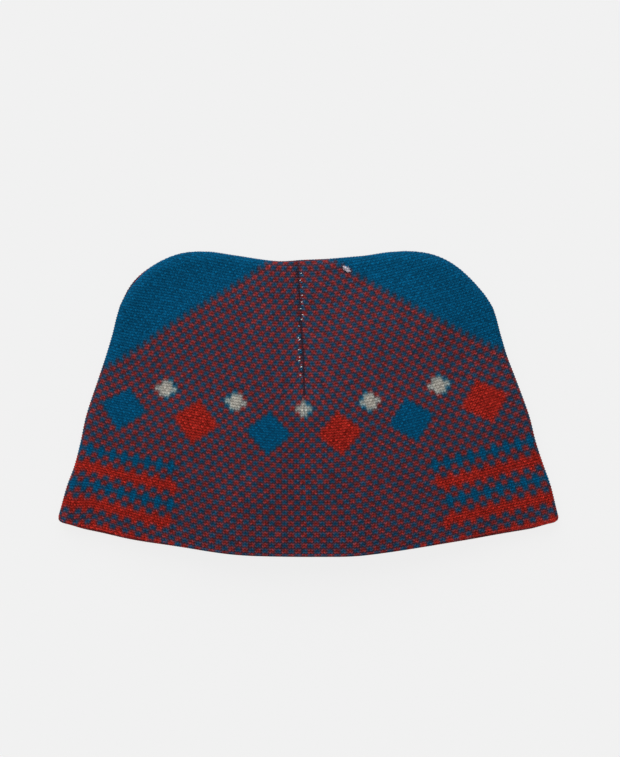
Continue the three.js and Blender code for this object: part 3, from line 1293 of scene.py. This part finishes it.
    @staticmethod
    def faces_of(index: np.ndarray, inwards: bool) -> tuple[list, np.ndarray]:
        """The faces between neighbouring columns and rows.

        Args:
            index: for each column and row, the point that stands there.
            inwards: whether the order of their points is turned round.

        Returns:
            The faces, without those that have shrunk to a line, and the column and row of each.
        """
        corners = np.stack([index[:-1, :-1], index[1:, :-1], index[1:, 1:], index[:-1, 1:]], -1)
        cells = np.indices((index.shape[0] - 1, index.shape[1] - 1)).reshape(2, -1).T
        faces, kept = [], []
        for number, face in enumerate(corners.reshape(-1, 4).tolist()):
            unique = list(dict.fromkeys(face))
            if len(unique) > 2:
                faces.append(unique[::-1] if inwards else unique)
                kept.append(number)
        return faces, cells[kept]

    @staticmethod
    def bridge(fine: np.ndarray, coarse: np.ndarray, ratio: int, reverse: bool) -> list:
        """Triangles from a boundary of the outer face to the inner face's coarser one.

        Args:
            fine: the outer points along the boundary.
            coarse: the inner points along it.
            ratio: how many outer steps go to one inner step.
            reverse: whether the order of their points is turned round.

        Returns:
            The triangles, without those that have shrunk to a line.
        """
        halves_up = 0.01
        last = len(coarse) - 1
        opposite = [min(round(number / ratio + halves_up), last) for number in range(len(fine))]
        faces = []
        for number, (near, following) in enumerate(zip(opposite[:-1], opposite[1:], strict=True)):
            faces.append([fine[number + 1], fine[number], coarse[near]])
            if following != near:
                faces.append([fine[number + 1], coarse[near], coarse[following]])
        if opposite[-1] < last:
            faces.append([fine[-1], coarse[-2], coarse[-1]])
        faces = [face for face in faces if len(set(face)) == 3]
        return [face[::-1] for face in faces] if reverse else faces

    def relief_tree(self) -> bpy.types.NodeTree:
        """Geometry Nodes that raise every stitch of a panel out of its face.

        Returns:
            The tree, which also lets the yarns bleed into each other and dresses the panel.
        """
        graph, entry, end = new_group(
            "raise_stitches",
            "GeometryNodeTree",
            {
                "Geometry": ("NodeSocketGeometry", None),
                "Relief": ("NodeSocketFloat", 0.0004),
                "Middle": ("NodeSocketFloat", 0.5),
                "Bleed": ("NodeSocketFloat", 0.5),
                "Bleed Steps": ("NodeSocketInt", 2),
            },
            {"Geometry": "NodeSocketGeometry"},
        )
        marks = {name: graph.named(name) for name in ("stitch", "outward", "yarn")}
        relief = stitch_relief(graph, marks["stitch"], entry["Middle"])
        height = graph.math("MULTIPLY", relief, entry["Relief"])
        inputs = {0: marks["outward"], "Scale": height}
        offset = graph.call("ShaderNodeVectorMath", inputs, operation="SCALE")
        inputs = {"Geometry": entry["Geometry"], "Offset": offset}
        moved = graph.call("GeometryNodeSetPosition", inputs)
        inputs = {"Value": marks["yarn"], "Iterations": entry["Bleed Steps"], "Weight": entry["Bleed"]}
        bled = graph.call("GeometryNodeBlurAttribute", inputs, data_type="FLOAT_VECTOR")
        inputs = {"Geometry": moved, "Name": "yarn", "Value": bled}
        settings = {"data_type": "FLOAT_VECTOR", "domain": "FACE"}
        stored = graph.call("GeometryNodeStoreNamedAttribute", inputs, **settings)
        inputs = {"Geometry": stored, "Material": self.finish.material}
        graph.feed(end.inputs["Geometry"], graph.call("GeometryNodeSetMaterial", inputs))
        return graph.tree


@dataclass(frozen=True)
class Arc:
    """A short length of yarn, whose points are given along its row, out of the fabric and across."""

    start: tuple
    bend: tuple
    end: tuple
    radius: float
    steps: int = 7
    sides: int = 6


@dataclass
class YarnStitches:
    """Short lengths of yarn of one form, one at each of a set of places."""

    name: str
    finish: YarnFinish
    arc: Arc

    def build(self, rows: dict) -> bpy.types.Object:
        """Lays the stitches.

        Args:
            rows: places in millimetres and unit directions along and outward, and each stitch's yarn
                shares and number in the chart where the material reads them.

        Returns:
            The stitches as one object.
        """
        mesh = bpy.data.meshes.new(self.name)
        mesh.from_pydata((rows["places"] * MM).tolist(), [], [])
        for name, values in rows.items():
            if name != "places":
                mark(mesh, name, "POINT", values)
        points = {"Start": self.arc.start, "Bend": self.arc.bend, "End": self.arc.end}
        settings = {name: [c * MM for c in point] for name, point in points.items()}
        settings |= {"Radius": self.arc.radius * MM, "Steps": self.arc.steps, "Sides": self.arc.sides}
        return finished(self.tree(), shown(self.name, mesh), settings)

    def tree(self) -> bpy.types.NodeTree:
        """Geometry Nodes that put one arc of yarn on every point.

        Returns:
            The tree, which also dresses the yarn.
        """
        vector = ("NodeSocketVector", None)
        graph, entry, end = new_group(
            "lay_stitches",
            "GeometryNodeTree",
            {
                "Geometry": ("NodeSocketGeometry", None),
                "Start": vector,
                "Bend": vector,
                "End": vector,
                "Radius": ("NodeSocketFloat", 0.0004),
                "Steps": ("NodeSocketInt", 7),
                "Sides": ("NodeSocketInt", 6),
            },
            {"Geometry": "NodeSocketGeometry"},
        )
        inputs = {name: entry[name] for name in ("Start", "End")}
        inputs |= {"Resolution": entry["Steps"], "Middle": entry["Bend"]}
        arc = graph.call("GeometryNodeCurveQuadraticBezier", inputs)
        inputs = {"Resolution": entry["Sides"], "Radius": entry["Radius"]}
        ring = graph.call("GeometryNodeCurvePrimitiveCircle", inputs)
        inputs = {"Curve": arc, "Profile Curve": ring, "Fill Caps": True}
        yarn = graph.call("GeometryNodeCurveToMesh", inputs)
        inputs = {"Primary Axis": graph.named("outward"), "Secondary Axis": graph.named("along")}
        settings = {"primary_axis": "Y", "secondary_axis": "X"}
        turned = graph.call("FunctionNodeAxesToRotation", inputs, **settings)
        inputs = {"Points": entry["Geometry"], "Instance": yarn, "Rotation": turned}
        laid = graph.call("GeometryNodeInstanceOnPoints", inputs)
        real = graph.call("GeometryNodeRealizeInstances", {"Geometry": laid})
        smooth = graph.call("GeometryNodeSetShadeSmooth", {"Geometry": real})
        inputs = {"Geometry": smooth, "Material": self.finish.material}
        graph.feed(end.inputs["Geometry"], graph.call("GeometryNodeSetMaterial", inputs))
        return graph.tree


@dataclass
class HemEdge:
    """The linked edge round the mouth: a rounded lip with the stitches that bind it."""

    shape: CapShape
    fabric: Fabric
    chart: KnitChart
    finish: KnitFinish
    lip_height: float = 0.9
    lip_half: float = 0.65
    lip_sides: int = 8
    floor_clearance: float = 0.32
    per_wale: int = 2
    level_rounds: int = 4
    on_leg: tuple = (0.25, 0.5)
    turn: Arc = Arc((-0.3, 1.1, 0.75), (0.0, 0.0, -1.75), (0.3, -1.1, 0.75), 0.36)

    def build(self) -> list[bpy.types.Object]:
        """Makes the lip and its stitches."""
        rows = self.around()
        return [self.lip(rows), self.binding(rows)]

    def around(self) -> dict:
        """Follows the mouth: along the front from right to left, then back below it.

        Returns:
            Rows of the middle of the lip, its three directions there, and its yarn and place in the chart.
        """
        count = self.fabric.half_wales * self.per_wale
        outwards = (np.arange(count) + 0.5) / self.per_wale
        inwards = outwards[::-1]
        parts = []
        for layer, side, wale in (
            (Layer.FRONT, Side.RIGHT, inwards),
            (Layer.FRONT, Side.LEFT, outwards),
            (Layer.BACK, Side.LEFT, inwards),
            (Layer.BACK, Side.RIGHT, outwards),
        ):
            up = np.zeros(count)
            for _ in range(self.level_rounds):
                up = up + self.lip_height - self.fabric.clear_of_hem(side, wale, up)
            flat = self.fabric.flat_places(layer, side, wale, up)
            spots, outward = self.shape.raise_points(layer, flat)
            if layer is Layer.BACK:
                spots[:, 2] += self.floor_clearance
            cut = np.floor(self.fabric.course_at(up))
            yarn = Yarn.shares(self.chart.yarns(layer, side, np.floor(wale), cut))
            parts.append((spots, outward, yarn, wale))
        places, outward, yarn, wale = (np.concatenate(group) for group in zip(*parts, strict=True))
        middle = places - outward * self.shape.wall / 2
        along = unit(np.roll(middle, -1, 0) - np.roll(middle, 1, 0))
        across = unit(np.cross(along, outward))
        leg_wale, leg_course = self.on_leg
        number = np.arange(len(wale))
        return {
            "middle": middle,
            "along": along,
            "outward": np.cross(across, along),
            "across": across,
            "yarn": yarn,
            "stitch": np.column_stack([np.floor(wale) + leg_wale, np.full(len(wale), leg_course), number]),
        }

    def lip(self, rows: dict) -> bpy.types.Object:
        """The lip itself, as a closed band with an oval section.

        Args:
            rows: what around gives.

        Returns:
            The lip.
        """
        turns = np.linspace(0, 2 * np.pi, self.lip_sides, endpoint=False)
        thick = rows["outward"] * self.shape.wall / 2
        wide = rows["across"] * self.lip_half
        ring = [rows["middle"] + thick * np.cos(turn) + wide * np.sin(turn) for turn in turns]
        count = len(rows["middle"])
        index = np.arange(count * len(turns)).reshape(len(turns), count)
        after = np.roll(index, -1, 0)
        corners = [index, np.roll(index, -1, 1), np.roll(after, -1, 1), after]
        faces = np.stack(corners, -1).reshape(-1, 4).tolist()
        mesh = mesh_of("hem_lip", self.shape.to_frame(np.vstack(ring)), faces)
        mark(mesh, "yarn", "POINT", np.tile(rows["yarn"], (len(turns), 1)))
        mark(mesh, "stitch", "POINT", np.tile(rows["stitch"], (len(turns), 1)))
        mesh.materials.append(self.finish.material)
        return shown("hem_lip", mesh)

    def binding(self, rows: dict) -> bpy.types.Object:
        """The yarn that goes over the lip, one turn for each half wale.

        Args:
            rows: what around gives.

        Returns:
            The turns as one object.
        """
        laid = {name: rows[name] for name in ("along", "outward", "yarn", "stitch")}
        laid["places"] = self.shape.to_frame(rows["middle"]) / MM
        return YarnStitches("hem_binding", self.finish, self.turn).build(laid)


@dataclass
class DartSeam:
    """A dart's linking: a near-black yarn down its groove, painted dark as its shadow, with loops glinting
    along it.
    """

    shape: CapShape
    groove_shade_thread: YarnFinish
    glint: YarnFinish
    # Lighter blue loops, a painted highlight.
    blue_highlight: YarnFinish
    layer: Layer
    pitch: float = 1.3
    below_foot: float = 2.0
    sunk: float = 0.22
    thread_turn: float = 0.35
    thread_arc: Arc = Arc((-0.85, -0.1, -0.15), (0, 0.2, 0), (0.85, -0.1, 0.15), 0.4)
    glint_arc: Arc = Arc((-0.42, -0.25, -0.08), (0, 0.3, 0), (0.42, -0.25, 0.08), 0.2)
    glint_pitch: float = 3.4
    glint_jitter: float = 1.4
    glint_lift: float = 0.42
    glint_turns: tuple = (0.4, 1.9)
    glint_rows: tuple = (
        {"height": 90, "beside": -1.0},
        {"height": 116, "beside": -1.4},
        {"height": 119, "beside": 1.2},
        {"height": 142, "beside": 1.5},
    )
    glint_spread: float = 0.45
    floor_clearance: float = 0.5
    seed: int = 7

    def build(self) -> list[bpy.types.Object]:
        """Makes the seam.

        Returns:
            Dark linking yarn as painted shadow, pale glinting loops, and blue loops painted lighter as
            highlights.
        """
        name = f"{self.layer.value}_dart"
        low = self.shape.dart_foot - self.below_foot
        high = self.shape.dart_top - self.shape.edge_roll / 2
        heights = np.arange(low, high, self.pitch)
        lift = np.interp(heights, (low, high), (self.sunk, 0.0))
        # The linking yarn, near black as painted shadow in the groove.
        laid = self.rows(heights, 0.0, lift, self.thread_turn)
        pieces = [YarnStitches(f"{name}_thread", self.groove_shade_thread, self.thread_arc).build(laid)]
        random = np.random.default_rng(self.seed)
        # Pale loops with painted glints, and blue loops painted lighter as highlights.
        for label, finish in (("loops", self.glint), ("blue_highlights", self.blue_highlight)):
            laid = self.glints(random)
            pieces.append(YarnStitches(f"{name}_{label}", finish, self.glint_arc).build(laid))
        return pieces

    def glints(self, random: np.random.Generator) -> dict:
        """Places for loops, scattered along a line that crosses the dart.

        Args:
            random: what their scatter is drawn from.

        Returns:
            The rows for them.
        """
        levels = [row["height"] for row in self.glint_rows]
        heights = np.arange(levels[0], levels[-1], self.glint_pitch)
        count = len(heights)
        heights = heights + random.uniform(-self.glint_jitter, self.glint_jitter, count)
        beside = np.interp(heights, levels, [row["beside"] for row in self.glint_rows])
        beside = beside + random.normal(0, self.glint_spread, count)
        lift = random.uniform(0.0, self.glint_lift, count)
        return self.rows(heights, beside, lift, random.uniform(*self.glint_turns, count))

    def rows(
        self, heights: np.ndarray, beside: np.ndarray | float, lift: np.ndarray, turn: np.ndarray | float
    ) -> dict:
        """Places on the fabric by the dart's line, with the directions of a stitch there.

        Args:
            heights: how far up the cap they are.
            beside: how far to the right of the line.
            lift: how far out of the fabric.
            turn: the angle of each stitch to the line.

        Returns:
            The rows that YarnStitches takes.
        """
        x = self.shape.dart_x(heights) + beside
        places, outward = self.shape.raise_points(self.layer, np.column_stack([x, heights]))
        half = 0.5
        lean = self.shape.dart_x(heights + half) - self.shape.dart_x(heights - half)
        up = np.column_stack([lean, np.ones(len(heights)), np.zeros(len(heights))])
        side = unit(np.cross(up, outward))
        up = np.cross(outward, side)
        turn = np.broadcast_to(turn, heights.shape)[:, None]
        places = places + outward * lift[:, None]
        places[:, 2] = np.maximum(places[:, 2], self.floor_clearance)
        along = unit(up * np.cos(turn) + side * np.sin(turn))
        return {"places": self.shape.to_frame(places) / MM, "along": along, "outward": outward}


@dataclass
class YarnEnd:
    """A short frayed end of pale yarn that has worked through the fabric beside the dart."""

    shape: CapShape
    finish: YarnFinish
    x: float = 19.1
    height: float = 143.2
    width: float = 1.1
    lean: float = -0.7
    ply: Arc = Arc((-1.7, 0.1, -0.1), (0, 0.7, 0.2), (1.7, 0.1, 0.25), 0.27)
    ply_across: tuple = (-0.4, -0.1, 0.15, 0.4)
    ply_lift: float = 0.35
    ply_turn: float = 0.12
    fibre: Arc = Arc((-0.9, 0, -0.2), (0, 0.6, 0.35), (0.9, 0.2, -0.1), 0.06, 6, 4)
    fibres: int = 60
    fibre_lifts: tuple = (0.3, 1.0)
    fibre_turn: float = 0.6
    seed: int = 3

    def build(self) -> list[bpy.types.Object]:
        """Makes the yarn end.

        Returns:
            Its plies and its loose fibres.
        """
        random = np.random.default_rng(self.seed)
        count = len(self.ply_across)
        turn = random.uniform(-self.ply_turn, self.ply_turn, count)
        laid = self.rows(np.zeros(count), np.array(self.ply_across), np.full(count, self.ply_lift), turn)
        plies = YarnStitches("yarn_end_plies", self.finish, self.ply).build(laid)
        across = random.normal(0, self.width / 3, self.fibres)
        run = random.uniform(self.ply.start[0], self.ply.end[0], self.fibres)
        lift = random.uniform(*self.fibre_lifts, self.fibres)
        turn = random.normal(0, self.fibre_turn, self.fibres)
        laid = self.rows(run, across, lift, turn)
        return [plies, YarnStitches("yarn_end_fibres", self.finish, self.fibre).build(laid)]

    def rows(self, run: np.ndarray, across: np.ndarray, lift: np.ndarray, turn: np.ndarray) -> dict:
        """Places over the yarn end, with the directions of a fibre there.

        Args:
            run: how far along the end they are from its middle.
            across: how far to its left.
            lift: how far out of the fabric.
            turn: the angle of each fibre to the end.

        Returns:
            The rows that YarnStitches takes.
        """
        cos, sin = math.cos(self.lean), math.sin(self.lean)
        x = self.x + run * cos - across * sin
        height = self.height + run * sin + across * cos
        places, outward = self.shape.raise_points(Layer.FRONT, np.column_stack([x, height]))
        angle = self.lean + turn
        flat = np.column_stack([np.cos(angle), np.sin(angle), np.zeros(len(angle))])
        side = unit(np.cross(flat, outward))
        return {
            "places": self.shape.to_frame(places + outward * lift[:, None]) / MM,
            "along": np.cross(outward, side),
            "outward": outward,
        }


@dataclass
class Studio:
    """The floor, the light and the camera, none of it part of the cap."""

    shape: CapShape
    pixel: float = 0.5
    picture_width: int = 620
    picture_height: int = 757
    middle_column: float = 308.35
    hem_row: float = 556.0
    distance: float = 1600.0
    floor_tone: float = 0.055
    floor_glow: float = 0.829
    floor_reach: float = 4.0
    sun_power: float = 2.9
    sun_angle: float = 1.2
    sun_heading: tuple = (0.3, -1.3, -1.0)
    sky: float = 0.37

    def build(self) -> None:
        """Makes the floor, the lights and the camera."""
        self.floor()
        self.lights()
        self.camera()

    def floor(self) -> None:
        """A plain pale floor."""
        corners = np.array([(-1, -1, 0), (1, -1, 0), (1, 1, 0), (-1, 1, 0)]) * self.floor_reach
        floor = shown("studio_floor", mesh_of("studio_floor", corners, [[0, 1, 2, 3]]))
        material = bpy.data.materials.new("studio_floor")
        material.use_nodes = True
        shader = material.node_tree.nodes["Principled BSDF"]
        shader.inputs["Base Color"].default_value = (*[self.floor_tone] * 3, 1)
        shader.inputs["Roughness"].default_value = 1.0
        shader.inputs["Specular IOR Level"].default_value = 0.0
        shader.inputs["Emission Color"].default_value = (1, 1, 1, 1)
        shader.inputs["Emission Strength"].default_value = self.floor_glow
        floor.data.materials.append(material)

    def lights(self) -> None:
        """A pale sky all round and one very soft lamp from beyond the crown's left."""
        world = bpy.data.worlds.new("studio_sky")
        world.use_nodes = True
        world.node_tree.nodes["Background"].inputs["Color"].default_value = (1, 1, 1, 1)
        world.node_tree.nodes["Background"].inputs["Strength"].default_value = self.sky
        bpy.context.scene.world = world
        lamp = bpy.data.lights.new("studio_lamp", "SUN")
        lamp.angle = self.sun_angle
        lamp.energy = self.sun_power
        placed = shown("studio_lamp", lamp)
        placed.rotation_euler = Vector(self.sun_heading).to_track_quat("-Z", "Y").to_euler()

    def camera(self) -> None:
        """A long lens straight above the cap, framed as the photograph is."""
        camera = bpy.data.cameras.new("camera")
        level = self.shape.seam_height
        camera.lens = camera.sensor_width * self.distance / (self.pixel * self.picture_height)
        placed = shown("camera", camera)
        x = (self.picture_width / 2 - self.middle_column) * self.pixel
        height = (self.hem_row - self.picture_height / 2) * self.pixel
        placed.location = (x * MM, (height + self.shape.frame_shift) * MM, (self.distance + level) * MM)
        bpy.context.scene.camera = placed
        bpy.context.scene.view_settings.view_transform = "Standard"


def place(piece: bpy.types.Object, slot: str, *nodes: str) -> None:
    """Attaches a piece to the frame's root body, hides the solids that it stands for and logs its faces.

    Args:
        piece: the piece.
        slot: the record's slot for its material; not used.
        nodes: the solids that it stands for, if any.
    """
    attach(piece, "root")
    if nodes:
        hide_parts(*nodes)
    LOG.info("%s: %d faces", piece.name, len(piece.data.polygons))


def main() -> None:
    """Builds the cap and its studio, and reports each piece."""
    logging.basicConfig(level=logging.INFO, format="%(name)s: %(message)s")
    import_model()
    shape = CapShape()
    fabric = Fabric(shape)
    chart = KnitChart()
    groups = ShadingGroups()
    knit = KnitFinish("checked_knit", Palette.blue, groups)
    hem = KnitFinish("hem_yarn", Palette.blue, groups)
    # Near black, painted shade for the darts' grooves.
    groove_shade_thread = YarnFinish("seam_groove_shade_thread", Palette.groove_shade_thread, groups)
    # Pale yarn, painted bright as glints along the darts.
    pale = YarnFinish("pale_glint_yarn", Palette.pale, groups)
    # Lighter blue, a painted highlight on loops by the darts.
    highlight_blue = YarnFinish("highlight_blue_yarn", Palette.highlight_blue, groups)
    frayed = YarnFinish("frayed_yarn", Palette.frayed, groups, patch_share=0.3)
    Studio(shape).build()
    for layer in Layer:
        for side in Side:
            piece = KnitPanel(shape, fabric, chart, knit, layer, side).build()
            place(piece, "checked_knit", f"{layer.value}_panel")
        for piece in DartSeam(shape, groove_shade_thread, pale, highlight_blue, layer).build():
            place(piece, "seam_yarn", f"{layer.value}_dart_seam")
    for piece in HemEdge(shape, fabric, chart, hem).build():
        place(piece, "hem_yarn", "hem_edge")
    for piece in YarnEnd(shape, frayed).build():
        place(piece, "seam_yarn")


if __name__ == "__main__":
    main()
